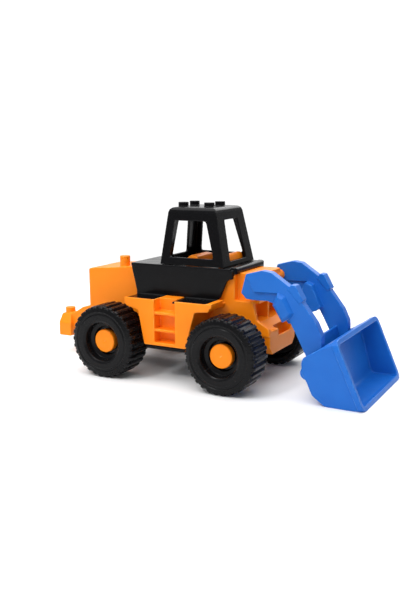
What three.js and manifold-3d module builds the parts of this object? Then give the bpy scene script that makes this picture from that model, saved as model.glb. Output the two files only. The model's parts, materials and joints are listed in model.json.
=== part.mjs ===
// Toy front loader: a moulded body, deck, cab, boom and bucket on four free-rolling wheels.
// Millimetres. +X points forward, +Y to the loader's left and +Z up.
// Lengths along X start midway between the axles until the whole group is centred at the end.

import * as THREE from 'three';
import { mergeVertices } from 'three/addons/utils/BufferGeometryUtils.js';
import Module from 'manifold-3d';

const wasm = await Module();
wasm.setup();

// Running gear
const WHEELBASE = 152.4;
const WHEEL_RADIUS = 42.5;
const TYRE_WIDTH = 38;
const TYRE_INNER = 52; // centre plane to the inner face of a tyre
const LUG_COUNT = 30;
const LUG_HEIGHT = 2.6;
const LUG_WIDTH = 5;
const RIM_RADIUS = 23; // mouth of the hub recess
const CAP_RADIUS = 13.4;
const WHEEL_CLEARANCE = 4; // tyre to anything it could rub on
const AXLE_RADIUS = 3;
const AXLE_TUBE_RADIUS = 7;

// Body
const HOOD_HALF = 31.5;
const HOOD_OVERHANG = 60.1; // rear axle to the rear face of the hood
const NOSE_INSET = 5.1; // side of the deck in to the side of the nose
const NOSE_TOP_HALF = 28.9;
const NOSE_REACH = 36.5; // front axle to the front face of the bumper
const NOTCH_RIGHT = -12.5; // sides of the notch in the bumper, which sits off centre
const NOTCH_LEFT = 24;
const FENDER_HALF = 73.1;
const LADDER_HALF = 13.6;
const LADDER_DEPTH = 13.1;
const EXHAUST_RADIUS = 6.2;

// Deck and cab
const DECK_HALF = 42.5;
const DECK_ABOVE_AXLE = 87.9;
const CAB_LENGTH = 82.6;
const CAB_INSET = 2.7; // side of the deck in to the foot of the cab
const CAB_HEIGHT = 65.3;
const STUD_RADIUS = 6;

// Boom
const ARM_CLEARANCE = 0.9; // side of the nose to an arm
const ARM_THICKNESS = 10.2;
const BORDER_DEPTH = 3.4; // outer face of an arm in to its thinner border
const BORDER_STEP = 2.2; // inner face of an arm out to its border
const COLLAR_PROUD = 4.5;
const COLLAR_BEVEL = 3;
const BOOM_PIN_RADIUS = 3.5;
const BUCKET_ROD_RADIUS = 3;
const EYE_RADIUS = 9.5;

// Bucket
const BUCKET_HALF = 69; // outside of a cheek, at the floor
const BUCKET_FLARE = 1.5; // widening of each side at the top
const BUCKET_WALL = 3.4;
const BUCKET_DEPTH = 62.8; // from the bucket pivot forward to the lip
const BUCKET_HEIGHT = 71.1;
const BUCKET_PIVOT_HEIGHT = 32.3;
const MOUTH_LEAN = 30.9; // how far the top of the mouth sits behind the lip
const MOUTH_RADIUS = 10;
const RIM_WIDTH = 5.5; // band round the mouth
const RIM_PROUD = 2;

// Tow hitch
const HITCH_REACH = 62.7; // rear face of the hood to the rear face of the hitch
const HITCH_HALF = 15.3;

// Common values
const WALL = 2.4;
const GAP = 0.3; // clearance between pieces that touch
const BEYOND = 20; // how far a cutting volume runs past the face it opens
const SCREW_RADIUS = 1.7;

// Datums that follow from the dimensions above
const AXLE_Z = WHEEL_RADIUS;
const FRONT = WHEELBASE / 2;
const REAR = -WHEELBASE / 2;
const NOSE_HALF = DECK_HALF - NOSE_INSET;
const CAB_HALF = DECK_HALF - CAB_INSET;
const ARM_INNER = NOSE_HALF + ARM_CLEARANCE;
const HOOD_REAR = REAR - HOOD_OVERHANG;
const HOOD_FLOOR = AXLE_Z + 9.5;
const HOOD_TOP = AXLE_Z + 81.6;
const NOSE_FRONT = FRONT + NOSE_REACH;
const NOSE_FLOOR = AXLE_Z + 15.2;
const NOSE_LEDGE = AXLE_Z + 52.7;
const NOSE_TOP = AXLE_Z + 82.7;
const NOSE_CAVITY_BACK = NOSE_FRONT - 31.9;
const CORE_FLOOR = AXLE_Z - 0.1;
const CORE_TOP = AXLE_Z + 49.2;
const RIM_TOP = CORE_TOP + 3.6;
const CORE_REAR = REAR + 22.6;
const CORE_FRONT = FRONT - 16.5;
const LEDGE_BACK = CORE_FRONT - 6.7; // front end of the front ledge
const DECK_TOP = AXLE_Z + DECK_ABOVE_AXLE;
const DECK_REAR = REAR + 11.8;
const DECK_FRONT = FRONT - 10.4;
const CAB_FRONT = DECK_FRONT - 8.3;
const CAB_REAR = CAB_FRONT - CAB_LENGTH;
const CAB_FOOT = DECK_TOP + GAP;
const CAB_TOP = CAB_FOOT + CAB_HEIGHT;
const LADDER_MID = (CORE_REAR + CORE_FRONT) / 2 - 3.1;
const SCREW_HALF_SPAN = LADDER_HALF + 5;
const SCREW_Y = FENDER_HALF - LADDER_DEPTH - 8;
const CHASSIS_HALF = HOOD_HALF - WALL - 2 * GAP;
const CHASSIS_FLOOR = AXLE_Z - 6.5;
const FLANGE_BOTTOM = AXLE_Z - 5.1;
const FLANGE_TOP = CORE_FLOOR - GAP;
const BOOM_X = FRONT + 15.6;
const BOOM_Z = AXLE_Z + 73.1;
const BUCKET_X = FRONT + 91.3;
const BUCKET_Z = BUCKET_PIVOT_HEIGHT;
const ARM_OUTER = ARM_INNER + ARM_THICKNESS;
const PIN_END = ARM_OUTER - BORDER_DEPTH - 1.3;
const BUCKET_LIP = BUCKET_X + BUCKET_DEPTH;
const HITCH_REAR = HOOD_REAR - HITCH_REACH;
const TYRE_OUTER = TYRE_INNER + TYRE_WIDTH;
const SIDES = [-1, 1];

// ---- Materials ----

const orange = new THREE.MeshStandardMaterial({ color: 0xfb9328, roughness: 0.42, metalness: 0 });
const black = new THREE.MeshStandardMaterial({ color: 0x1d1d1f, roughness: 0.34, metalness: 0 });
const tyreBlack = new THREE.MeshStandardMaterial({ color: 0x202022, roughness: 0.5, metalness: 0 });
const blue = new THREE.MeshStandardMaterial({ color: 0x2a6cd0, roughness: 0.4, metalness: 0 });
const steel = new THREE.MeshStandardMaterial({ color: 0xb9bcc0, roughness: 0.3, metalness: 1 });

// ---- Solids ----

// A closed three.js geometry as a solid; triangles that shrink to a line are left out.
function solidOf(geometry) {
  const bare = geometry.index ? geometry.toNonIndexed() : geometry.clone();
  bare.deleteAttribute('normal');
  bare.deleteAttribute('uv');
  const merged = mergeVertices(bare, 1e-4);
  const index = merged.index.array;
  const kept = [];
  for (let i = 0; i < index.length; i += 3) {
    const [a, b, c] = [index[i], index[i + 1], index[i + 2]];
    if (a !== b && b !== c && c !== a) kept.push(a, b, c);
  }
  return new wasm.Manifold(new wasm.Mesh({
    numProp: 3,
    vertProperties: merged.attributes.position.array,
    triVerts: new Uint32Array(kept),
  }));
}

function geometryOf(solid) {
  const mesh = solid.getMesh();
  const geometry = new THREE.BufferGeometry();
  geometry.setAttribute('position', new THREE.BufferAttribute(mesh.vertProperties, mesh.numProp));
  geometry.setIndex(new THREE.BufferAttribute(mesh.triVerts, 1));
  geometry.computeVertexNormals();
  return geometry;
}

function join(solids) {
  return solids.reduce((whole, piece) => whole.add(piece));
}

// A closed outline through [x, y] corners; a third value rounds that corner.
function outline(corners) {
  const shape = new THREE.Shape();
  const at = (i) => new THREE.Vector2(...corners[(i + corners.length) % corners.length]);
  corners.forEach((entry, i) => {
    const corner = at(i);
    const radius = entry[2] ?? 0;
    const back = at(i - 1).sub(corner).normalize();
    const ahead = at(i + 1).sub(corner).normalize();
    const reach = radius / Math.tan(Math.acos(back.dot(ahead)) / 2);
    const start = corner.clone().addScaledVector(back, reach);
    if (i === 0) shape.moveTo(start.x, start.y);
    else shape.lineTo(start.x, start.y);
    if (!radius) return;
    const end = corner.clone().addScaledVector(ahead, reach);
    shape.quadraticCurveTo(corner.x, corner.y, end.x, end.y);
  });
  return shape;
}

function extrude(corners, depth, bevel = 0) {
  return new THREE.ExtrudeGeometry(outline(corners), {
    depth: depth - 2 * bevel,
    bevelEnabled: bevel > 0,
    bevelThickness: bevel,
    bevelSize: bevel,
    bevelOffset: -bevel,
    bevelSegments: 1,
    curveSegments: 3,
  }).translate(0, 0, bevel);
}

// Prisms of an outline: across the loader (corners are x, z), along it (y, z) and upwards (x, y).
function prismY(corners, edgeA, edgeB, bevel = 0) {
  const far = Math.max(edgeA, edgeB);
  return solidOf(extrude(corners, Math.abs(edgeB - edgeA), bevel).rotateX(Math.PI / 2).translate(0, far, 0));
}

function prismX(corners, from, to) {
  const turn = new THREE.Matrix4().set(0, 0, 1, 0, 1, 0, 0, 0, 0, 1, 0, 0, 0, 0, 0, 1);
  return solidOf(extrude(corners, to - from).applyMatrix4(turn).translate(from, 0, 0));
}

function prismZ(corners, from, to) {
  return solidOf(extrude(corners, to - from).translate(0, 0, from));
}

function box(x0, x1, y0, y1, z0, z1) {
  const geometry = new THREE.BoxGeometry(x1 - x0, Math.abs(y1 - y0), z1 - z0);
  return solidOf(geometry.translate((x0 + x1) / 2, (y0 + y1) / 2, (z0 + z1) / 2));
}

function rodY(radius, x, z, edgeA, edgeB, sides = 24) {
  const geometry = new THREE.CylinderGeometry(radius, radius, Math.abs(edgeB - edgeA), sides);
  return solidOf(geometry.translate(x, (edgeA + edgeB) / 2, z));
}

function rodZ(radius, x, y, from, to, sides = 24) {
  const geometry = new THREE.CylinderGeometry(radius, radius, to - from, sides).rotateX(Math.PI / 2);
  return solidOf(geometry.translate(x, y, (from + to) / 2));
}

// A full turn about the Y axis of a closed profile of [radius, y] points, starting at an angle.
function turned(profile, sides, start = 0) {
  const points = profile.map(([radius, y]) => new THREE.Vector2(radius, y));
  points.push(points[0].clone());
  return solidOf(new THREE.LatheGeometry(points, sides, start));
}

function rectangle(x0, x1, y0, y1, radius = 0) {
  return [[x0, y0, radius], [x1, y0, radius], [x1, y1, radius], [x0, y1, radius]];
}

function bothSides(make) {
  return join(SIDES.map(make));
}

// ---- Body: hood, centre box with fenders and ladders, and nose, moulded as one hollow shell ----

// With an inset, each volume is the hollow inside its wall, open downwards.
function hoodVolume(inset) {
  const floor = inset ? HOOD_FLOOR - BEYOND : HOOD_FLOOR;
  const rear = HOOD_REAR + inset;
  const half = HOOD_HALF - inset;
  const side = prismY([
    [rear, floor],
    [rear, HOOD_TOP - 6.3 - inset, 5 - inset],
    [DECK_REAR, HOOD_TOP - inset],
    [DECK_FRONT - BEYOND, HOOD_TOP - inset],
    [DECK_FRONT - BEYOND, floor],
  ], -half, half);
  const plan = prismZ([
    [rear, -half, 4 - inset],
    [DECK_FRONT, -half],
    [DECK_FRONT, half],
    [rear, half, 4 - inset],
  ], floor - 1, HOOD_TOP + 1);
  return side.intersect(plan);
}

function neckVolume(inset) {
  const floor = inset ? NOSE_FLOOR - BEYOND : NOSE_FLOOR;
  const half = NOSE_HALF - inset;
  return box(DECK_FRONT - 22 + inset, DECK_FRONT + 4.2 - inset, -half, half, floor, HOOD_TOP - inset);
}

function noseTopVolume(inset) {
  const half = NOSE_TOP_HALF - inset;
  const floor = inset ? NOSE_LEDGE - inset + 1.6 : NOSE_LEDGE - 3.2;
  const top = NOSE_TOP - inset;
  const front = FRONT + 20 - inset;
  const corners = [[DECK_FRONT - 4, floor], [front, floor], [front, top, 1.2], [DECK_FRONT - 4, top]];
  return prismY(corners, -half, half);
}

function noseLower() {
  return prismY([
    [DECK_FRONT - 22, NOSE_FLOOR],
    [DECK_FRONT - 22, NOSE_LEDGE],
    [NOSE_FRONT - 20.9, NOSE_LEDGE, 1.5],
    [NOSE_FRONT - 16.1, AXLE_Z + 32.5, 4],
    [NOSE_FRONT - 1.1, AXLE_Z + 23.5, 2],
    [NOSE_FRONT, NOSE_FLOOR],
  ], -NOSE_HALF, NOSE_HALF);
}

function bumper() {
  const low = AXLE_Z - 5.9;
  const half = NOSE_HALF - 1.7;
  return prismX([
    [-half, low + 8, 2],
    [-half + 7, low, 2],
    [half - 7, low, 2],
    [half, low + 8, 2],
    [half, NOSE_FLOOR + 5],
    [-half, NOSE_FLOOR + 5],
  ], NOSE_FRONT - 12.7, NOSE_FRONT);
}

// The open pocket between the nose's side walls, with a notch and a slot in the bumper.
function nosePocket() {
  const half = NOSE_HALF - 5.4;
  const roof = NOSE_LEDGE - 3.2;
  const floor = AXLE_Z + 21;
  const pocket = prismY([
    [NOSE_CAVITY_BACK, roof],
    [NOSE_CAVITY_BACK, floor + 10],
    [NOSE_FRONT - 16.1, floor + 8],
    [NOSE_FRONT - 4, floor],
    [NOSE_FRONT + BEYOND, floor],
    [NOSE_FRONT + BEYOND, roof],
  ], -half, half);
  const notch = box(
    NOSE_FRONT - 10.7, NOSE_FRONT + BEYOND, NOTCH_RIGHT, NOTCH_LEFT, AXLE_Z + 12.4, floor + 2);
  const well = box(
    NOSE_FRONT - 10.7, NOSE_FRONT - WALL, NOTCH_RIGHT, NOTCH_LEFT, AXLE_Z - 0.5, floor + 2);
  return join([pocket, notch, well]);
}

function noseRib() {
  return box(NOSE_CAVITY_BACK - 1, NOSE_CAVITY_BACK + 14, -1.8, 1.8, AXLE_Z + 28, NOSE_LEDGE - 2);
}

// The centre box between the wheels, with fender wings over them.
function coreVolume() {
  return prismY([
    [CORE_REAR, CORE_TOP],
    [CORE_REAR, AXLE_Z + 45.4, 1.5],
    [CORE_REAR + 4, AXLE_Z + 42.2, 3],
    [CORE_REAR + 18.2, AXLE_Z + 40, 4],
    [REAR + 48.7, CORE_FLOOR, 1.5],
    [FRONT - 48.9, CORE_FLOOR, 1.5],
    [FRONT - 46.9, AXLE_Z + 8.8],
    [CORE_FRONT - 21.2, AXLE_Z + 42.2, 4],
    [CORE_FRONT - 3.8, AXLE_Z + 44.1, 2],
    [CORE_FRONT - 1.6, CORE_TOP],
  ], -FENDER_HALF, FENDER_HALF);
}

function coreHollow() {
  const half = FENDER_HALF - WALL;
  const roof = CORE_TOP - WALL;
  const hollow = prismY([
    [REAR + 51.1, CORE_FLOOR - BEYOND],
    [REAR + 51.1, CORE_FLOOR],
    [CORE_REAR + 21, AXLE_Z + 38],
    [CORE_REAR + 21, roof],
    [CORE_FRONT - 23.8, roof],
    [CORE_FRONT - 23.8, AXLE_Z + 42],
    [FRONT - 51.3, CORE_FLOOR],
    [FRONT - 51.3, CORE_FLOOR - BEYOND],
  ], -half, half);
  const stairWell = LADDER_HALF + WALL;
  const inner = FENDER_HALF - LADDER_DEPTH - WALL;
  const blocks = bothSides((side) => box(
    LADDER_MID - stairWell,
    LADDER_MID + stairWell,
    side * inner,
    side * FENDER_HALF,
    CORE_FLOOR - BEYOND - 1,
    CORE_TOP,
  ));
  return hollow.subtract(blocks);
}

// The rim round the ledges: an outer strip, a front lip and a step between the two ledges.
function fenderRim(side) {
  const inner = DECK_HALF + GAP;
  const strip = box(
    CORE_REAR, CORE_FRONT, side * (FENDER_HALF - 1.4), side * FENDER_HALF, CORE_TOP - 1, RIM_TOP);
  const lip = prismY([
    [LEDGE_BACK, CORE_TOP - 1],
    [CORE_FRONT - 2, CORE_TOP - 1],
    [CORE_FRONT, RIM_TOP + 0.5],
    [LEDGE_BACK, RIM_TOP + 0.5],
  ], side * inner, side * FENDER_HALF);
  const step = box(
    LADDER_MID - LADDER_HALF - 1.5, LADDER_MID + 9, side * inner, side * FENDER_HALF, CORE_TOP - 1, RIM_TOP);
  return join([strip, lip, step]);
}

function ladderRecess(side) {
  return box(
    LADDER_MID - LADDER_HALF,
    LADDER_MID + LADDER_HALF,
    side * (FENDER_HALF - LADDER_DEPTH),
    side * (FENDER_HALF + BEYOND),
    CORE_FLOOR + 3.6,
    RIM_TOP + BEYOND,
  );
}

function ladderTread(side, height) {
  const half = LADDER_HALF + 1;
  const back = side * (FENDER_HALF - LADDER_DEPTH - 1);
  return box(LADDER_MID - half, LADDER_MID + half, back, side * (FENDER_HALF - 1.2), height - 3, height);
}

// Room for the wheels, cut from whatever reaches over or beside them.
function wheelWells() {
  const radius = WHEEL_RADIUS + WHEEL_CLEARANCE;
  return join([REAR, FRONT].map((x) => bothSides(
    (side) => rodY(radius, x, AXLE_Z, side * (TYRE_INNER - 0.5), side * (TYRE_OUTER + 1), 48))));
}

function screwPlaces() {
  return SIDES.flatMap((along) => SIDES.map((across) => [
    LADDER_MID + along * SCREW_HALF_SPAN,
    across * SCREW_Y,
  ]));
}

function bodyShell() {
  const pinBore = BOOM_PIN_RADIUS + GAP;
  const outer = join([
    hoodVolume(0), neckVolume(0), noseTopVolume(0), noseLower(), bumper(), coreVolume(),
    bothSides(fenderRim),
    rodZ(EXHAUST_RADIUS, REAR - 8.8, -23.8, HOOD_TOP - 8, HOOD_TOP + 11.1),
  ]);
  const lowerHollow = box(
    DECK_FRONT - 22 + WALL, NOSE_CAVITY_BACK - WALL,
    -NOSE_HALF + WALL, NOSE_HALF - WALL,
    NOSE_FLOOR - BEYOND, NOSE_LEDGE - WALL);
  const chassisWay = box(
    HOOD_REAR + WALL, NOSE_CAVITY_BACK - WALL,
    -CHASSIS_HALF - GAP, CHASSIS_HALF + GAP,
    CORE_FLOOR - BEYOND, NOSE_FLOOR + 1);
  const hollow = join([
    hoodVolume(WALL), neckVolume(WALL), noseTopVolume(WALL), lowerHollow, coreHollow(), chassisWay,
    box(-SCREW_HALF_SPAN, FRONT - 45, -CHASSIS_HALF, CHASSIS_HALF, CORE_FLOOR, HOOD_TOP - WALL),
  ]);
  const shell = outer.subtract(join([hollow, nosePocket(), bothSides(ladderRecess)]));
  const bosses = join([
    ...screwPlaces().map(([x, y]) => rodZ(4.5, x, y, CORE_FLOOR, CORE_TOP - 1, 16)),
    bothSides((side) => rodY(BOOM_PIN_RADIUS + 3, BOOM_X, BOOM_Z, side * 20, side * (ARM_INNER - GAP))),
    noseRib(),
    bothSides((side) => ladderTread(side, AXLE_Z + 38.5)),
    bothSides((side) => ladderTread(side, AXLE_Z + 19)),
  ]);
  const bores = join([
    ...screwPlaces().map(([x, y]) => rodZ(SCREW_RADIUS + GAP, x, y, CORE_FLOOR - 1, CORE_FLOOR + 16, 12)),
    bothSides((side) => rodY(pinBore, BOOM_X, BOOM_Z, side * 19, side * ARM_OUTER, 20)),
    box(HOOD_REAR - 1, HOOD_REAR + WALL + 1, -8, 8, HOOD_FLOOR + 5, HOOD_FLOOR + 13),
  ]);
  return shell.add(bosses).subtract(bores.add(wheelWells()));
}

// ---- Tow hitch: block, tapered neck and peg on a drawbar whose tongue plugs into the hood ----

function towHitch() {
  const low = AXLE_Z - 19.7;
  const front = HITCH_REAR + 19;
  const blockTop = AXLE_Z - 2.7;
  const neckTop = AXLE_Z + 8.5;
  const taper = prismY([
    [HITCH_REAR, blockTop],
    [front, blockTop],
    [front - 4, neckTop],
    [HITCH_REAR + 1.2, neckTop],
  ], -HITCH_HALF, HITCH_HALF);
  const sideTaper = prismX([
    [-HITCH_HALF, blockTop],
    [HITCH_HALF, blockTop],
    [HITCH_HALF - 6.5, neckTop],
    [-HITCH_HALF + 6.5, neckTop],
  ], HITCH_REAR - 1, front + 1);
  const drawbar = prismY([
    [front - 8, low + 6],
    [front - 8, neckTop + 1],
    [front, neckTop + 1],
    [HOOD_REAR - 29, AXLE_Z + 19],
    [HOOD_REAR - GAP, HOOD_FLOOR + 18],
    [HOOD_REAR - GAP, HOOD_FLOOR + 2],
  ], -HITCH_HALF + 7, HITCH_HALF - 7);
  const tongue = box(
    HOOD_REAR - 1, HOOD_REAR + WALL, -8 + GAP, 8 - GAP, HOOD_FLOOR + 5 + GAP, HOOD_FLOOR + 13 - GAP);
  return join([
    prismY(rectangle(HITCH_REAR, front, low, blockTop + 0.01, 1), -HITCH_HALF, HITCH_HALF),
    taper.intersect(sideTaper),
    rodZ(6.4, HITCH_REAR + 7.7, 0, neckTop - 1, neckTop + 7.3),
    drawbar,
    tongue,
  ]);
}

// ---- Chassis: a channel that carries both axles, with a flange that closes the centre box ----

function chassis() {
  const rear = REAR - 45;
  const front = NOSE_FRONT - 14.5;
  const top = NOSE_FLOOR - GAP;
  const flangeHalf = FENDER_HALF - 2;
  const flange = box(
    REAR + 49.7, FRONT - 48.2, -flangeHalf, flangeHalf, FLANGE_BOTTOM, FLANGE_TOP);
  const channel = box(rear, front, -CHASSIS_HALF, CHASSIS_HALF, CHASSIS_FLOOR, top);
  const trough = box(
    rear + WALL, front - WALL, -CHASSIS_HALF + WALL, CHASSIS_HALF - WALL, CHASSIS_FLOOR + WALL, top + 1);
  const tubes = [REAR, FRONT].map((x) => bothSides((side) => rodY(
    AXLE_TUBE_RADIUS - 1, x, AXLE_Z, side * (CHASSIS_HALF - WALL), side * (TYRE_INNER - 1))));
  const bores = [REAR, FRONT].map((x) => rodY(AXLE_RADIUS + GAP, x, AXLE_Z, -TYRE_INNER, TYRE_INNER, 20));
  const screws = screwPlaces().flatMap(([x, y]) => [
    rodZ(SCREW_RADIUS + GAP, x, y, FLANGE_BOTTOM - 1, FLANGE_TOP + 1, 12),
    rodZ(2 * SCREW_RADIUS + GAP, x, y, FLANGE_BOTTOM - 1, FLANGE_BOTTOM + 2, 16),
  ]);
  return join([flange, channel.subtract(trough), ...tubes])
    .subtract(join([...bores, ...screws, wheelWells()]));
}

function chassisScrew([x, y]) {
  const head = FLANGE_BOTTOM + 0.2;
  const shank = rodZ(SCREW_RADIUS, x, y, head + 1, CORE_FLOOR + 15, 12);
  return rodZ(2 * SCREW_RADIUS, x, y, head, head + 1.5, 16).add(shank);
}

// ---- Deck: top plate with side skirts, a rounded front bar and a ledge over each fender ----

function deckSkirt() {
  const low = CORE_TOP + GAP;
  const side = [
    [DECK_REAR, DECK_TOP],
    [DECK_REAR + 7.6, low + 6.6, 3],
    [DECK_REAR + 7.4, low],
    [DECK_FRONT - 18, low],
    [DECK_FRONT - 11.2, low + 5.7],
    [DECK_FRONT - 3.1, AXLE_Z + 73.8],
    [DECK_FRONT, AXLE_Z + 76.2],
    [DECK_FRONT, DECK_TOP],
  ];
  const inner = DECK_HALF - WALL;
  const cavity = prismY([
    [DECK_REAR + WALL + 0.6, DECK_TOP - WALL],
    [DECK_REAR + 7.6 + WALL, low + 6.6],
    [DECK_REAR + 7.6 + WALL, low - BEYOND],
    [DECK_FRONT + BEYOND, low - BEYOND],
    [DECK_FRONT + BEYOND, DECK_TOP - WALL],
  ], -inner, inner);
  const hoodWay = box(
    DECK_REAR - BEYOND, DECK_REAR + BEYOND,
    -HOOD_HALF - GAP, HOOD_HALF + GAP,
    low - BEYOND, HOOD_TOP + GAP);
  const barRear = DECK_FRONT - 3.7;
  const barFront = DECK_FRONT + 7.2;
  const barHalf = DECK_HALF - 4;
  const barSide = prismY(
    rectangle(barRear, barFront, AXLE_Z + 80, DECK_TOP + 1.4, 4), -barHalf, barHalf);
  const bar = barSide.intersect(prismZ([
    [barRear, -barHalf],
    [barFront, -barHalf, 6],
    [barFront, barHalf, 6],
    [barRear, barHalf],
  ], AXLE_Z + 79, DECK_TOP + 4));
  const noseWay = join([[NOSE_HALF, HOOD_TOP], [NOSE_TOP_HALF, NOSE_TOP]].map(([half, top]) => box(
    barRear - 1, barFront + 1, -half - GAP, half + GAP, NOSE_LEDGE, top + GAP)));
  const tabs = bothSides((sign) => box(
    DECK_FRONT - 2.5, DECK_FRONT + 3.6,
    sign * (NOSE_HALF + 2 * GAP), sign * (DECK_HALF - 0.4),
    AXLE_Z + 76.4, AXLE_Z + 86));
  const ledge = (sign, from, to) => box(
    from, to, sign * inner, sign * (FENDER_HALF - 1.4 - GAP), low, low + WALL);
  const ledges = bothSides((sign) => ledge(sign, CORE_REAR + GAP, LADDER_MID - LADDER_HALF - 1.5 - GAP)
    .add(ledge(sign, LADDER_MID + 9 + GAP, LEDGE_BACK - GAP)));
  const cover = prismY(side, -DECK_HALF, DECK_HALF).subtract(join([cavity, hoodWay]));
  return join([cover, bar, tabs, ledges]).subtract(noseWay.add(wheelWells()));
}

// ---- Cab: tapered open-bottomed shell with four windows and four roof studs ----

// Half width of the cab at a height, as its sides lean in towards the roof.
const cabHalf = (height) => CAB_HALF - 6 * (height - CAB_FOOT) / 62;

function cabVolume(inset) {
  const foot = inset ? CAB_FOOT - 1 : CAB_FOOT;
  const top = CAB_TOP - 2 * inset;
  const radius = 7 - inset;
  const side = prismY([
    [CAB_REAR + inset, foot],
    [CAB_FRONT - inset, foot],
    [CAB_FRONT - 13.6 - inset, top, radius],
    [CAB_REAR + 9.1 + inset, top, radius],
  ], -CAB_HALF, CAB_HALF);
  const end = prismX([
    [-CAB_HALF + inset, foot],
    [CAB_HALF - inset, foot],
    [cabHalf(CAB_TOP) - inset, top, radius],
    [-cabHalf(CAB_TOP) + inset, top, radius],
  ], CAB_REAR - 1, CAB_FRONT + 1);
  return side.intersect(end);
}

function cabWindows() {
  const sill = CAB_FOOT + 8.7;
  const head = CAB_TOP - 15;
  const middle = (CAB_REAR + CAB_FRONT) / 2;
  const sides = prismY([
    [CAB_REAR + 12, sill, 2.5],
    [CAB_FRONT - 13.4, sill, 2.5],
    [CAB_FRONT - 24.9, head, 4],
    [CAB_REAR + 16.9, head, 3],
  ], -CAB_HALF - BEYOND, CAB_HALF + BEYOND);
  const windshield = prismX([
    [-20.6, CAB_FOOT + 5.3, 2],
    [20.6, CAB_FOOT + 5.3, 2],
    [16.2, head + 1, 2],
    [-16.2, head + 1, 2],
  ], middle, CAB_FRONT + BEYOND);
  const rearWindow = prismX([
    [-18, sill, 2],
    [18, sill, 2],
    [13, head, 2],
    [-13, head, 2],
  ], CAB_REAR - BEYOND, middle);
  return join([sides, windshield, rearWindow]);
}

function cab() {
  const studs = [CAB_REAR + 16.9, CAB_FRONT - 31.7].flatMap((x) => SIDES.map(
    (side) => rodZ(STUD_RADIUS, x, side * 13.2, CAB_TOP - 2, CAB_TOP + 5)));
  return join([cabVolume(0).subtract(cabVolume(3)).subtract(cabWindows()), ...studs]);
}

// ---- Cab interior ----

function seat() {
  const x = CAB_REAR + 25.1;
  const floor = DECK_TOP + GAP;
  const back = prismY([
    [x - 3, floor],
    [x + 14, floor],
    [x + 13, floor + 8.6, 2],
    [x + 4, floor + 9.6, 3],
    [x - 3, floor + 4, 1.5],
  ], -20, 20);
  const corners = prismX([
    [-20, floor - 1],
    [20, floor - 1],
    [20, floor + 10.5, 6],
    [-20, floor + 10.5, 6],
  ], x - BEYOND, x + 2 * BEYOND);
  return back.intersect(corners);
}

function dashboard() {
  const floor = DECK_TOP + GAP;
  const x = CAB_FRONT - 15.5;
  const panel = prismY([[x, floor], [x + 9, floor], [x + 7.5, floor + 12, 3], [x + 1, floor + 12, 3]], -24, 24);
  const corners = prismX([
    [-24, floor - 1],
    [24, floor - 1],
    [24, floor + 12.5, 7],
    [-24, floor + 12.5, 7],
  ], x - 1, x + 10);
  return panel.intersect(corners);
}

// ---- Wheels, turned about the Y axis at the origin with the outer face towards +Y ----

// The core has one flat under each lug.
function wheel() {
  const root = WHEEL_RADIUS - LUG_HEIGHT;
  const inner = TYRE_INNER;
  const outer = TYRE_OUTER;
  const bore = AXLE_RADIUS + GAP;
  const hub = CAP_RADIUS - 3;
  const core = turned([
    [bore, inner + 2],
    [8, inner + 2],
    [8, outer - 20],
    [root - 8, outer - 20],
    [root - 6, inner],
    [root - 2, inner],
    [root, inner + 3],
    [root, outer - 4],
    [root - 1.5, outer - 1],
    [root - 4, outer],
    [RIM_RADIUS + 2, outer],
    [RIM_RADIUS, outer - 1.5],
    [RIM_RADIUS - 1.5, outer - 10],
    [CAP_RADIUS + 3, outer - 11],
    [CAP_RADIUS + 2.6, outer - 16],
    [hub, outer - 16],
    [hub, outer - 13.5],
    [bore, outer - 13.5],
  ], LUG_COUNT, Math.PI / LUG_COUNT);
  const lugProfile = [
    [root - 1, inner + 3.4],
    [WHEEL_RADIUS, inner + 5],
    [WHEEL_RADIUS, outer - 5.5],
    [root - 1, outer - 4.2],
  ];
  const points = lugProfile.map(([radius, y]) => new THREE.Vector2(radius, y));
  const lugs = [];
  for (let i = 0; i < LUG_COUNT; i += 1) {
    // The profile lies in the X-Y plane, so the lug is centred on Z before it is turned.
    const lug = new THREE.ExtrudeGeometry(new THREE.Shape(points), { depth: LUG_WIDTH, bevelEnabled: false });
    lug.translate(0, 0, -LUG_WIDTH / 2).rotateY(Math.PI / 2 + i * 2 * Math.PI / LUG_COUNT);
    lugs.push(solidOf(lug));
  }
  return join([core, ...lugs]);
}

function hubCap() {
  const face = TYRE_OUTER - 6.6;
  const inner = CAP_RADIUS - 3 + GAP;
  return turned([
    [0, face - 2],
    [inner, face - 2],
    [inner, face - 8.5],
    [CAP_RADIUS, face - 8.5],
    [CAP_RADIUS, face - 0.8],
    [CAP_RADIUS - 0.8, face],
    [0, face],
  ], 32);
}

// The pressed washer that keeps a wheel on its axle.
function pushNut() {
  const from = TYRE_OUTER - 13.5 + GAP;
  return turned([
    [AXLE_RADIUS + GAP, from],
    [7, from],
    [7, from + 0.8],
    [AXLE_RADIUS + 1, from + 1.6],
    [AXLE_RADIUS + GAP, from + 1.6],
  ], 16);
}

function axle() {
  const end = TYRE_OUTER - 10.2;
  return rodY(AXLE_RADIUS, 0, 0, -end, end, 20);
}

// ---- Boom: two cranked arms with a thinner border at the pivot end, joined by a lower plate ----

// Points given from the boom pivot, and from the bucket pivot.
const fromBoom = (x, z, radius = 0) => [BOOM_X + x, BOOM_Z + z, radius];
const fromBucket = (x, z, radius = 0) => [BUCKET_X + x, BUCKET_Z + z, radius];

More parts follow.
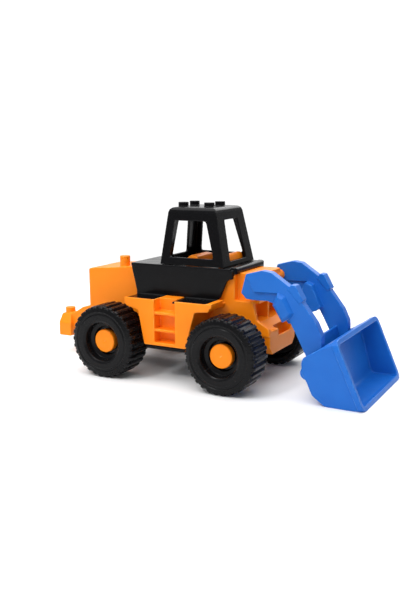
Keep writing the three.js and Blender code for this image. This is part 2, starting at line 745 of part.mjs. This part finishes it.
function boomArm(side) {
  const web = prismY([
    fromBoom(-4.4, 11.5, 2),
    fromBoom(15.9, 16.9, 9),
    fromBoom(26.4, 15.6, 5),
    fromBoom(48.1, 1.3, 3),
    fromBoom(60.8, -12.5, 3),
    fromBucket(1.9, 49, 6),
    fromBucket(8.6, 35, 6),
    fromBucket(9, 4, 3),
    fromBucket(0, -3),
    fromBucket(-8, 4, 3),
    fromBucket(-8.4, 12.9),
    fromBucket(-21.7, 38.4),
    fromBoom(47.5, -33.6),
    fromBoom(40, -34.5, 1),
    fromBoom(29.5, -18.5, 2),
    fromBoom(20.8, -16, 3),
    fromBoom(3.5, -16.4, 2),
    fromBoom(-4.3, -15.6, 2),
    fromBoom(-10, -9.5, 1.5),
  ], side * (ARM_INNER + BORDER_STEP), side * (ARM_OUTER - BORDER_DEPTH));
  const plate = prismY([
    fromBoom(-3.2, 11.7, 1),
    fromBoom(15.9, 16.9, 9),
    fromBoom(26.4, 15.6, 5),
    fromBoom(48.1, 1.3, 3),
    fromBoom(60.8, -12.5, 3),
    fromBucket(1.9, 49, 6),
    fromBucket(8.6, 35, 6),
    fromBucket(9, 4, 3),
    fromBucket(0, -3),
    fromBucket(-8, 4, 3),
    fromBucket(-8.4, 12.9),
    fromBucket(-21.7, 38.4),
    fromBoom(47.5, -33.6),
    fromBoom(34.5, -15, 1),
    fromBoom(35.1, -6.4, 1.5),
    fromBoom(5.9, -6.7, 2),
  ], side * ARM_INNER, side * ARM_OUTER);
  const eye = rodY(EYE_RADIUS, BUCKET_X, BUCKET_Z, side * ARM_INNER, side * ARM_OUTER, 28);
  const pinBoss = rodY(BOOM_PIN_RADIUS + 3, BOOM_X, BOOM_Z, side * ARM_INNER, side * (ARM_OUTER - BORDER_DEPTH));
  return join([web, plate, eye, pinBoss]);
}

// The block that wraps the elbow, proud of the arm on both faces, and a strap on the front edge.
function boomCollar(side) {
  const block = prismY([
    fromBoom(29.2, -19),
    fromBoom(34.6, -5.6),
    fromBoom(42.9, -9),
    fromBoom(52.4, -26),
    fromBoom(49.3, -31),
    fromBoom(40.5, -37),
  ], side * ARM_INNER, side * (ARM_OUTER + COLLAR_PROUD), COLLAR_BEVEL);
  const innerBlock = prismY([
    fromBoom(29.2, -20.5, 1),
    fromBoom(34.6, -5.6, 1),
    fromBoom(42.9, -9),
    fromBoom(54, -33),
    fromBoom(49.3, -37.8, 1),
    fromBoom(43.8, -39.8, 1),
  ], side * (NOSE_TOP_HALF + 0.4), side * (ARM_INNER + BORDER_STEP));
  const strap = prismY([
    fromBoom(46, -1),
    fromBoom(49.3, 4.2, 1),
    fromBoom(54.3, 3.8, 1),
    fromBoom(63.6, -12.4, 2),
    fromBoom(59, -15),
  ], side * (ARM_INNER - 1), side * (ARM_OUTER + 0.8));
  return join([block, innerBlock, strap]);
}

function boom() {
  const overlap = ARM_INNER + 0.5;
  const lowerPlate = prismY([
    fromBucket(-8.4, 27.5),
    fromBucket(-4.4, 28.5),
    fromBucket(-1, 13),
    fromBucket(-5, 12),
  ], -overlap, overlap);
  const bores = bothSides((side) => rodY(
    BOOM_PIN_RADIUS + GAP, BOOM_X, BOOM_Z, side * (ARM_INNER - 1), side * (PIN_END + GAP), 20));
  const rodBore = rodY(BUCKET_ROD_RADIUS + GAP, BUCKET_X, BUCKET_Z, -ARM_OUTER - 1, ARM_OUTER + 1, 20);
  return join([bothSides(boomArm), bothSides(boomCollar), lowerPlate]).subtract(bores.add(rodBore));
}

function boomPin(side) {
  return rodY(BOOM_PIN_RADIUS, BOOM_X, BOOM_Z, side * 21, side * PIN_END, 20);
}

// ---- Bucket: a scoop whose back wall leaves a pocket between the cheeks for the arm ends ----

// Half width between the inner faces of the cheeks at the bucket pivot.
const CHEEK_INNER = BUCKET_HALF + BUCKET_FLARE * BUCKET_Z / BUCKET_HEIGHT - BUCKET_WALL;
const MOUTH_TILT = Math.atan2(MOUTH_LEAN, BUCKET_HEIGHT);

// Widens towards the top; a positive inset gives the room between the cheeks.
function bucketWidth(inset, margin) {
  const low = BUCKET_HALF - inset;
  const high = low + BUCKET_FLARE;
  const ends = [BUCKET_X - BEYOND, BUCKET_LIP + BEYOND + margin];
  return prismX([[-low, 0], [low, 0], [high, BUCKET_HEIGHT], [-high, BUCKET_HEIGHT]], ...ends);
}

// The rounded outline of the leaning mouth, swept square to it through the bucket.
function mouthSweep(inset) {
  const low = BUCKET_HALF + RIM_PROUD - inset;
  const high = low + BUCKET_FLARE;
  const height = Math.hypot(MOUTH_LEAN, BUCKET_HEIGHT) - inset;
  const radius = MOUTH_RADIUS - inset;
  const sweep = prismX([
    [-low, inset, radius],
    [low, inset, radius],
    [high, height, radius],
    [-high, height, radius],
  ], -2 * BUCKET_DEPTH, BEYOND);
  const turn = THREE.MathUtils.radToDeg(MOUTH_TILT);
  return sweep.rotate([0, -turn, 0]).translate([BUCKET_LIP, 0, 0]);
}

function bucketSide() {
  return prismY([
    [BUCKET_X - 3.2, BUCKET_Z + 16.5, 3],
    [BUCKET_LIP - MOUTH_LEAN, BUCKET_HEIGHT],
    [BUCKET_LIP, 0],
    [BUCKET_X + 20.5, 0, 8],
    [BUCKET_X + 6.6, 10, 5],
    [BUCKET_X + 1, 23, 4],
    [BUCKET_X - 5, 33, 4],
    [BUCKET_X - 5, BUCKET_Z + 12, 3],
  ], -BUCKET_HALF - BUCKET_FLARE, BUCKET_HALF + BUCKET_FLARE);
}

function bucketRim() {
  const back = RIM_WIDTH / Math.cos(MOUTH_TILT);
  const half = BUCKET_HALF + BUCKET_FLARE + RIM_PROUD;
  return prismY([
    [BUCKET_LIP - MOUTH_LEAN - back, BUCKET_HEIGHT - 2],
    [BUCKET_LIP - MOUTH_LEAN, BUCKET_HEIGHT],
    [BUCKET_LIP, 0],
    [BUCKET_LIP - back, 0],
  ], -half, half);
}

function bucketScoop() {
  const half = BUCKET_HALF + BUCKET_FLARE;
  return prismY([
    [BUCKET_X + 14.5, BUCKET_Z + 22.4],
    [BUCKET_X + 29.4, BUCKET_WALL, 8],
    [BUCKET_LIP + BEYOND, BUCKET_WALL],
    [BUCKET_LIP + BEYOND, BUCKET_HEIGHT + BEYOND],
    [BUCKET_LIP - MOUTH_LEAN + 12, BUCKET_HEIGHT + 5],
  ], -half, half).intersect(bucketWidth(BUCKET_WALL, 1)).intersect(mouthSweep(RIM_PROUD + BUCKET_WALL));
}

// Room for the arm ends: behind the back wall, round the pivot and open to the top and rear.
function bucketPocket() {
  return prismY([
    [BUCKET_X + 11.1, BUCKET_Z + 22],
    [BUCKET_X + 25.9, BUCKET_WALL, 2],
    [BUCKET_X + 21, BUCKET_WALL, 2],
    [BUCKET_X + 9.2, 12.2, 4],
    [BUCKET_X + 3, 21.4],
    [BUCKET_X - BEYOND + 1, 21.4],
    [BUCKET_X - BEYOND + 1, BUCKET_HEIGHT + BEYOND],
    [BUCKET_X + 11.1, BUCKET_HEIGHT + BEYOND],
  ], -BUCKET_HALF, BUCKET_HALF).intersect(bucketWidth(BUCKET_WALL, 2));
}

function bucket() {
  const bosses = bothSides((side) => rodY(
    BUCKET_ROD_RADIUS + 4, BUCKET_X, BUCKET_Z, side * (ARM_OUTER + GAP), side * (CHEEK_INNER + 2)));
  const bore = rodY(BUCKET_ROD_RADIUS + GAP, BUCKET_X, BUCKET_Z, -CHEEK_INNER - 1, CHEEK_INNER + 1, 20);
  const outer = bucketSide().intersect(bucketWidth(0, 0)).add(bucketRim()).intersect(mouthSweep(0));
  return outer.subtract(bucketScoop()).subtract(bucketPocket()).add(bosses).subtract(bore);
}

function bucketRod() {
  const end = CHEEK_INNER + 0.7;
  return rodY(BUCKET_ROD_RADIUS, BUCKET_X, BUCKET_Z, -end, end, 20);
}

// ---- Assembly ----

const loader = new THREE.Group();

function place(name, solid, material, x = 0, z = 0) {
  const mesh = new THREE.Mesh(geometryOf(solid), material.clone());
  mesh.name = name;
  mesh.position.set(x, 0, z);
  loader.add(mesh);
  return mesh;
}

place('body_shell', bodyShell(), orange);
place('tow_hitch', towHitch(), orange);
place('chassis', chassis(), black);
place('deck_skirt', deckSkirt(), black);
place('cab', cab(), black);
place('seat', seat(), orange);
place('dashboard', dashboard(), orange);
screwPlaces().forEach((spot, i) => place(`chassis_screw_${i + 1}`, chassisScrew(spot), steel));

for (const [end, x] of [['front', FRONT], ['rear', REAR]]) {
  place(`axle_${end}`, axle(), steel, x, AXLE_Z);
  for (const [hand, turn] of [['left', 0], ['right', Math.PI]]) {
    place(`wheel_${end}_${hand}`, wheel(), tyreBlack, x, AXLE_Z).rotation.z = turn;
    place(`hub_cap_${end}_${hand}`, hubCap(), orange, x, AXLE_Z).rotation.z = turn;
    place(`push_nut_${end}_${hand}`, pushNut(), steel, x, AXLE_Z).rotation.z = turn;
  }
}

place('boom', boom(), blue);
place('boom_pin_left', boomPin(1), steel);
place('boom_pin_right', boomPin(-1), steel);
place('bucket', bucket(), blue);
place('bucket_rod', bucketRod(), steel);

// The part's own frame has its origin on the ground, midway between the hitch and the bucket lip.
loader.position.x = -(HITCH_REAR + BUCKET_LIP) / 2;

export default loader;
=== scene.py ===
"""Looks of the toy front loader: soft moulded edges, lugged tyres and procedural plastics."""

import json
import math

import bmesh
import bpy
import numpy as np
from mathutils import Matrix, Vector


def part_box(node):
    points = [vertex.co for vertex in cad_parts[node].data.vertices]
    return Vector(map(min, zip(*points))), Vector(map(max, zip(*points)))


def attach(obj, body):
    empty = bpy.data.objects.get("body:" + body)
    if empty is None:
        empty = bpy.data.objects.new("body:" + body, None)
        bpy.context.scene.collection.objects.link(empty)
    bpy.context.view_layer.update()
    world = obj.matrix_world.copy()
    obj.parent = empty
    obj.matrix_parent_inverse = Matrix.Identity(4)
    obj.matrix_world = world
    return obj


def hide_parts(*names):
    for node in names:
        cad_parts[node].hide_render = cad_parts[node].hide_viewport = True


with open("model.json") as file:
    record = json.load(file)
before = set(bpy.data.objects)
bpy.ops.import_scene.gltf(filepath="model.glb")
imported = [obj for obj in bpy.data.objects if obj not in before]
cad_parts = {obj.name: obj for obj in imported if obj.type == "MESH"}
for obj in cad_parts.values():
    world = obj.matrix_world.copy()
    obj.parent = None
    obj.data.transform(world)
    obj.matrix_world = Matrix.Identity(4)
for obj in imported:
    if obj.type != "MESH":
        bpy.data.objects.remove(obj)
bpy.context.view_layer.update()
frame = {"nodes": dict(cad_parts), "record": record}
MM = 0.001
NODE_BODY = {
    node: body
    for body, nodes in frame["record"]["behaviour"]["bodies"].items()
    for node in nodes
}
CORNERS = [(end, hand) for end in ("front", "rear") for hand in ("left", "right")]


# ---- Materials ----


def linear(red, green, blue):
    """An sRGB colour, 0 to 255, as linear RGBA."""

    def channel(value):
        value /= 255
        return value / 12.92 if value <= 0.04045 else ((value + 0.055) / 1.055) ** 2.4

    return (channel(red), channel(green), channel(blue), 1.0)


class Shader:
    """A new material with its Principled shader and short calls that add and join nodes."""

    def __init__(self, name):
        self.material = bpy.data.materials.new(name)
        self.material.use_nodes = True
        self.tree = self.material.node_tree
        self.bsdf = self.tree.nodes["Principled BSDF"]
        self.place = self.add("ShaderNodeTexCoord").outputs["Object"]

    def add(self, kind, **settings):
        node = self.tree.nodes.new(kind)
        for key, value in settings.items():
            setattr(node, key, value)
        return node

    def join(self, output, socket):
        self.tree.links.new(output, socket)

    def noise(self, scale, detail=4.0, roughness=0.55, stretch=None):
        node = self.add("ShaderNodeTexNoise")
        node.inputs["Scale"].default_value = scale
        node.inputs["Detail"].default_value = detail
        node.inputs["Roughness"].default_value = roughness
        source = self.place
        if stretch:
            mapping = self.add("ShaderNodeMapping")
            mapping.inputs["Scale"].default_value = stretch
            self.join(source, mapping.inputs["Vector"])
            source = mapping.outputs["Vector"]
        self.join(source, node.inputs["Vector"])
        return node.outputs["Fac"]

    def ramp(self, value, low, high, out_low=0.0, out_high=1.0):
        node = self.add("ShaderNodeMapRange", clamp=True)
        self.join(value, node.inputs["Value"])
        node.inputs["From Min"].default_value = low
        node.inputs["From Max"].default_value = high
        node.inputs["To Min"].default_value = out_low
        node.inputs["To Max"].default_value = out_high
        return node.outputs["Result"]

    def math(self, operation, first, second):
        node = self.add("ShaderNodeMath", operation=operation)
        for socket, value in zip(node.inputs, (first, second)):
            if isinstance(value, float):
                socket.default_value = value
            else:
                self.join(value, socket)
        return node.outputs["Value"]

    def mix(self, amount, first, second):
        node = self.add("ShaderNodeMix", data_type="RGBA")
        self.join(amount, node.inputs["Factor"])
        for socket, value in ((node.inputs["A"], first), (node.inputs["B"], second)):
            if isinstance(value, tuple):
                socket.default_value = value
            else:
                self.join(value, socket)
        return node.outputs["Result"]

    def bump(self, height, distance, strength, below=None):
        node = self.add("ShaderNodeBump")
        node.inputs["Distance"].default_value = distance
        node.inputs["Strength"].default_value = strength
        self.join(height, node.inputs["Height"])
        if below:
            self.join(below, node.inputs["Normal"])
        return node.outputs["Normal"]

    def edges(self, low, high):
        """1 on outward edges, 0 on flat faces."""
        pointiness = self.add("ShaderNodeNewGeometry").outputs["Pointiness"]
        return self.ramp(pointiness, low, high)


def plastic(name, colour, shade, worn, roughness, grain, specular):
    """Moulded plastic: faint flow clouds, rubbed edges, fine scratches and a grained surface."""
    shader = Shader(name)
    clouds = shader.ramp(shader.noise(22, 5), 0.35, 0.7, 0.0, 0.55)
    body = shader.mix(clouds, colour, shade)
    patches = shader.ramp(shader.noise(160, 3), 0.42, 0.62)
    rubbed = shader.math("MULTIPLY", shader.edges(0.515, 0.56), patches)
    shader.join(shader.mix(rubbed, body, worn), shader.bsdf.inputs["Base Color"])
    smears = shader.ramp(shader.noise(45, 6), 0.3, 0.75, roughness - 0.05, roughness + 0.09)
    streaks = shader.ramp(shader.noise(260, 2, 0.4, (1, 1, 9)), 0.62, 0.72, 0.0, 0.08)
    total = shader.math("ADD", shader.math("ADD", smears, streaks), rubbed_gain(shader, rubbed))
    shader.join(total, shader.bsdf.inputs["Roughness"])
    fine = shader.bump(shader.noise(2600, 3, 0.6), 0.05 * MM, grain)
    waves = shader.bump(shader.noise(60, 2), 0.25 * MM, grain, fine)
    shader.join(waves, shader.bsdf.inputs["Normal"])
    shader.bsdf.inputs["IOR"].default_value = 1.49
    shader.bsdf.inputs["Specular IOR Level"].default_value = specular
    return shader.material


def rubbed_gain(shader, rubbed):
    return shader.math("MULTIPLY", rubbed, 0.12)


def steel(name):
    """Zinc-plated steel with drawn lines round the rods and a cloudy tint."""
    shader = Shader(name)
    tint = shader.ramp(shader.noise(400, 4), 0.35, 0.7)
    colour = shader.mix(tint, linear(196, 198, 202), linear(150, 153, 160))
    shader.join(colour, shader.bsdf.inputs["Base Color"])
    shader.bsdf.inputs["Metallic"].default_value = 1.0
    lines = shader.noise(900, 2, 0.5, (1, 12, 1))
    shader.join(shader.ramp(lines, 0.3, 0.7, 0.24, 0.42), shader.bsdf.inputs["Roughness"])
    shader.join(shader.bump(lines, 0.03 * MM, 0.4), shader.bsdf.inputs["Normal"])
    return shader.material


ORANGE = plastic(
    "orange_moulded", linear(250, 138, 18), linear(244, 124, 10), linear(255, 176, 84), 0.38, 0.25, 0.2
)
BLACK = plastic(
    "black_moulded", linear(13, 13, 15), linear(9, 9, 10), linear(32, 32, 34), 0.2, 0.2, 0.12
)
TYRE = plastic(
    "tyre_moulded", linear(16, 16, 18), linear(11, 11, 12), linear(36, 36, 38), 0.22, 0.35, 0.14
)
BLUE = plastic(
    "blue_moulded", linear(26, 104, 194), linear(20, 92, 182), linear(84, 150, 225), 0.32, 0.25, 0.24
)
STEEL = steel("plated_steel")


# ---- Building pieces ----


def new_piece(name, mesh, node, material):
    """A shown object for a mesh: it rides with a CAD node's body and stands for that node."""
    mesh.materials.clear()
    mesh.materials.append(material)
    mesh.polygons.foreach_set("use_smooth", [True] * len(mesh.polygons))
    piece = bpy.data.objects.new(name, mesh)
    bpy.context.scene.collection.objects.link(piece)
    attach(piece, NODE_BODY[node])
    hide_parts(node)
    return piece


def welded(node):
    """A CAD node's faces as one bmesh with shared corners."""
    mesh = bmesh.new()
    mesh.from_mesh(frame["nodes"][node].data)
    bmesh.ops.remove_doubles(mesh, verts=mesh.verts, dist=0.001 * MM)
    return mesh


def moulded(node, name, material, voxel=0.7, rounds=5, keep=0.25, extra=None):
    """The CAD node's solid with every edge and inner corner rounded, as a mould leaves them."""
    shape = welded(node)
    if extra:
        extra(shape)
    bmesh.ops.recalc_face_normals(shape, faces=shape.faces)
    raw = bpy.data.meshes.new(name + "_raw")
    shape.to_mesh(raw)
    shape.free()
    carrier = bpy.data.objects.new(name + "_raw", raw)
    bpy.context.scene.collection.objects.link(carrier)
    fuse = carrier.modifiers.new("fuse", "REMESH")
    fuse.mode = "VOXEL"
    fuse.voxel_size = voxel * MM
    soften = carrier.modifiers.new("soften", "SMOOTH")
    soften.factor = 0.5
    soften.iterations = rounds
    thin = carrier.modifiers.new("thin", "DECIMATE")
    thin.ratio = keep
    bpy.context.view_layer.update()
    depsgraph = bpy.context.evaluated_depsgraph_get()
    mesh = bpy.data.meshes.new_from_object(carrier.evaluated_get(depsgraph))
    mesh.name = name
    bpy.data.objects.remove(carrier)
    bpy.data.meshes.remove(raw)
    return new_piece(name, mesh, node, material)


def rounded_profile(corners, step):
    """Points along a closed (radius, y) outline whose corners carry a rounding radius."""
    points = []
    count = len(corners)
    for i, (r, y, radius) in enumerate(corners):
        corner = Vector((r, y))
        back = Vector(corners[i - 1][:2]) - corner
        ahead = Vector(corners[(i + 1) % count][:2]) - corner
        half = back.angle(ahead) / 2
        reach = min(radius / math.tan(half), back.length * 0.49, ahead.length * 0.49)
        start = corner + back.normalized() * reach
        end = corner + ahead.normalized() * reach
        steps = 5 if reach > 0.2 else 1
        for t in [k / steps for k in range(steps + 1)]:
            points.append(start.lerp(corner, t).lerp(corner.lerp(end, t), t))
    dense = []
    for i, point in enumerate(points):
        after = points[(i + 1) % len(points)]
        pieces = max(1, int((after - point).length / step))
        dense += [point.lerp(after, k / pieces) for k in range(pieces)]
    return dense


def revolved(name, profile, centre, side, turns, height=None):
    """A full turn of a closed (radius, y) outline in mm about a wheel's axle, y outwards from the
    centre plane on that side. height(angle, radius, y) lifts the surface away from the axle."""
    angles = np.linspace(0, 2 * math.pi, turns, endpoint=False)
    rows = []
    for point in profile:
        radius = np.full(turns, point.x)
        if height:
            radius = radius + height(angles, point.x, point.y)
        ring = np.stack([radius * np.cos(angles), np.full(turns, side * point.y), radius * np.sin(angles)], 1)
        rows.append(ring)
    places = np.concatenate(rows) * MM + np.array(centre)
    count = len(profile)
    faces = []
    for i in range(count):
        j = (i + 1) % count
        for k in range(turns):
            m = (k + 1) % turns
            faces.append((i * turns + k, i * turns + m, j * turns + m, j * turns + k))
    mesh = bpy.data.meshes.new(name)
    mesh.from_pydata(places.tolist(), [], faces)
    fixed = bmesh.new()
    fixed.from_mesh(mesh)
    bmesh.ops.remove_doubles(fixed, verts=fixed.verts, dist=0.0005 * MM)
    bmesh.ops.recalc_face_normals(fixed, faces=fixed.faces)
    fixed.to_mesh(mesh)
    fixed.free()
    return mesh


# ---- Wheels ----

WHEEL_LOW, WHEEL_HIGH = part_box("wheel_front_left")
TYRE_RADIUS = (WHEEL_HIGH.z - WHEEL_LOW.z) / 2 / MM
TYRE_INNER = WHEEL_LOW.y / MM
TYRE_OUTER = WHEEL_HIGH.y / MM
AXLE_HEIGHT = (WHEEL_HIGH.z + WHEEL_LOW.z) / 2
LUGS = 30
LUG_HEIGHT = 2.6


def smooth_step(value, low, high):
    t = np.clip((value - low) / (high - low), 0, 1)
    return t * t * (3 - 2 * t)


def tyre_lugs(angles, radius, y):
    """Height of the tread: cross bars that run out over the shoulders, and short blocks between."""
    root = TYRE_RADIUS - LUG_HEIGHT
    if radius < root - 5.2:
        return np.zeros_like(angles)
    from_outer = TYRE_OUTER - y
    from_inner = y - TYRE_INNER
    across = smooth_step(from_outer, 0.2, 2.6) * smooth_step(from_inner, 0.2, 3.0)
    pitch = 2 * math.pi / LUGS
    phase = np.abs((angles / pitch + 0.5) % 1 - 0.5) * 2
    bar = 1 - smooth_step(phase, 0.42, 0.6)
    between = np.abs((angles / pitch) % 1 - 0.5) * 2
    block = 1 - smooth_step(between, 0.26, 0.42)
    near_edge = (1 - smooth_step(np.array(min(from_outer, from_inner)), 4.5, 6.0)) * 0.55
    ribs = np.maximum(bar, block * near_edge)
    return LUG_HEIGHT * across * ribs


def wheel_profile():
    root = TYRE_RADIUS - LUG_HEIGHT
    inner, outer = TYRE_INNER, TYRE_OUTER
    return rounded_profile([
        (3.3, inner + 2, 0.1),
        (8, inner + 2, 0.6),
        (8, outer - 20, 1.5),
        (root - 8, outer - 20, 2),
        (root - 6, inner, 1.5),
        (root - 1, inner, 2.2),
        (root, inner + 4, 2),
        (root, outer - 6, 3),
        (root - 0.8, outer - 1.6, 1.6),
        (root - 4.6, outer - 0.2, 1.0),
        (root - 5.4, outer - 0.9, 0.5),
        (root - 7, outer - 0.9, 0.6),
        (root - 8.4, outer, 0.8),
        (25.4, outer, 1.2),
        (22.6, outer - 1.6, 1.6),
        (21.6, outer - 10, 1.0),
        (17, outer - 11, 0.8),
        (16.4, outer - 16, 0.6),
        (10.4, outer - 16, 0.3),
        (10.4, outer - 13.5, 0.3),
        (3.3, outer - 13.5, 0.1),
    ], 1.1)


def cap_profile():
    face = TYRE_OUTER - 6.6
    return rounded_profile([
        (0.05, face - 2, 0),
        (10.7, face - 2, 0.2),
        (10.7, face - 8.5, 0.2),
        (13.4, face - 8.5, 0.2),
        (13.4, face - 1, 0.9),
        (12.2, face - 0.3, 0.7),
        (11.4, face - 0.5, 0.3),
        (2.4, face - 0.2, 0.3),
        (1.6, face - 0.55, 0.3),
        (0.05, face - 0.55, 0),
    ], 1.4)


def build_wheels():
    tyre_line = wheel_profile()
    cap_line = cap_profile()
    for end, hand in CORNERS:
        low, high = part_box(f"wheel_{end}_{hand}")
        centre = ((low.x + high.x) / 2, 0, AXLE_HEIGHT)
        side = 1 if hand == "left" else -1
        node = f"wheel_{end}_{hand}"
        mesh = revolved(node + "_skin", tyre_line, centre, side, LUGS * 14, tyre_lugs)
        new_piece(node + "_skin", mesh, node, TYRE)
        node = f"hub_cap_{end}_{hand}"
        mesh = revolved(node + "_skin", cap_line, centre, side, 72)
        new_piece(node + "_skin", mesh, node, ORANGE)


# ---- Moulded pieces ----


def build_body():
    moulded("body_shell", "body_skin", ORANGE, 0.65, 3, 0.25)
    moulded("tow_hitch", "hitch_skin", ORANGE, 0.6, 4, 0.3)
    moulded("chassis", "chassis_skin", BLACK, 0.8, 3, 0.25)
    moulded("deck_skirt", "deck_skin", BLACK, 0.6, 4, 0.25)
    moulded("cab", "cab_skin", BLACK, 0.5, 6, 0.25)
    moulded("seat", "seat_skin", ORANGE, 0.5, 5, 0.3)
    moulded("dashboard", "dashboard_skin", ORANGE, 0.5, 5, 0.3)


def build_loader():
    moulded("boom", "boom_skin", BLUE, 0.5, 3, 0.25)
    moulded("bucket", "bucket_skin", BLUE, 0.55, 4, 0.25)


def finish_steel():
    """The rods, pins, washers and screws keep their CAD shape and take the plated steel."""
    for name, node in frame["nodes"].items():
        if name.startswith(("axle", "push_nut", "boom_pin", "bucket_rod", "chassis_screw")):
            node.data.materials.clear()
            node.data.materials.append(STEEL)


# ---- Camera, light and floor ----

AZIMUTH = math.radians(29.11)  # from straight on the right side, round towards the front
ELEVATION = math.radians(10.73)
ROLL = math.radians(-0.43)
CAMERA_PLACE = Vector((0.41945, -0.7707, 0.2506))
LENS = 45.0


def build_camera():
    data = bpy.data.cameras.new("camera")
    data.lens = LENS
    data.sensor_width = 36
    data.clip_start = 0.05
    back = Vector((
        math.sin(AZIMUTH) * math.cos(ELEVATION),
        -math.cos(AZIMUTH) * math.cos(ELEVATION),
        math.sin(ELEVATION),
    ))
    right = (-back).cross(Vector((0, 0, 1))).normalized()
    up = back.cross(right)
    across = math.cos(ROLL) * right + math.sin(ROLL) * up
    upward = -math.sin(ROLL) * right + math.cos(ROLL) * up
    matrix = Matrix((across, upward, back)).transposed().to_4x4()
    matrix.translation = CAMERA_PLACE
    camera = bpy.data.objects.new("camera", data)
    camera.matrix_world = matrix
    bpy.context.scene.collection.objects.link(camera)
    bpy.context.scene.camera = camera
    return -back


def area_light(name, place, target, size, power):
    data = bpy.data.lights.new(name, "AREA")
    data.shape = "RECTANGLE"
    data.size, data.size_y = size
    data.energy = power
    light = bpy.data.objects.new(name, data)
    light.location = place
    aim = Vector(target) - Vector(place)
    light.rotation_euler = aim.to_track_quat("-Z", "Y").to_euler()
    bpy.context.scene.collection.objects.link(light)


def white_wall(sky, direction):
    """A bright wall behind the object and a dimmer room round the rest of it."""
    tree = sky.id_data
    nodes, links = tree.nodes, tree.links
    along = nodes.new("ShaderNodeVectorMath")
    along.operation = "DOT_PRODUCT"
    along.inputs[1].default_value = direction
    links.new(nodes.new("ShaderNodeTexCoord").outputs["Generated"], along.inputs[0])
    spread = nodes.new("ShaderNodeMapRange")
    spread.inputs["From Min"].default_value = 0.62
    spread.inputs["From Max"].default_value = 0.86
    spread.inputs["To Min"].default_value = 0.4
    spread.inputs["To Max"].default_value = 1.05
    links.new(along.outputs["Value"], spread.inputs["Value"])
    links.new(spread.outputs["Result"], sky.inputs["Strength"])


def build_studio(view):
    area_light("softbox", (-0.1, -0.3, 1.5), (0, 0, 0), (2.2, 2.2), 38)
    area_light("lamp", (-0.25, -1.0, 1.1), (0, 0, 0.08), (0.2, 0.2), 4.8)
    area_light("back", (0.1, 1.4, 1.1), (0, 0.2, 0), (1.8, 0.8), 12)
    world = bpy.data.worlds.new("studio")
    world.use_nodes = True
    sky = world.node_tree.nodes["Background"]
    sky.inputs["Color"].default_value = (1, 1, 1, 1)
    white_wall(sky, view)
    bpy.context.scene.world = world
    bpy.context.scene.view_settings.view_transform = "Standard"
    mesh = bpy.data.meshes.new("floor")
    left, right, near, far = -1.1, 1.1, -1.1, 0.7
    corners = [(left, near, 0), (right, near, 0), (right, far, 0), (left, far, 0)]
    mesh.from_pydata(corners, [], [(0, 1, 2, 3)])
    floor = bpy.data.objects.new("floor", mesh)
    floor.location.z = -0.1 * MM
    bpy.context.scene.collection.objects.link(floor)
    paper = Shader("pale_floor")
    shade = paper.ramp(paper.noise(3, 2), 0.3, 0.7)
    tone = paper.mix(shade, (0.9, 0.9, 0.9, 1), (0.88, 0.88, 0.885, 1))
    paper.join(tone, paper.bsdf.inputs["Base Color"])
    paper.bsdf.inputs["Roughness"].default_value = 0.7
    mesh.materials.append(paper.material)


VIEW = build_camera()
build_studio(VIEW)
build_wheels()
build_body()
build_loader()
finish_steel()
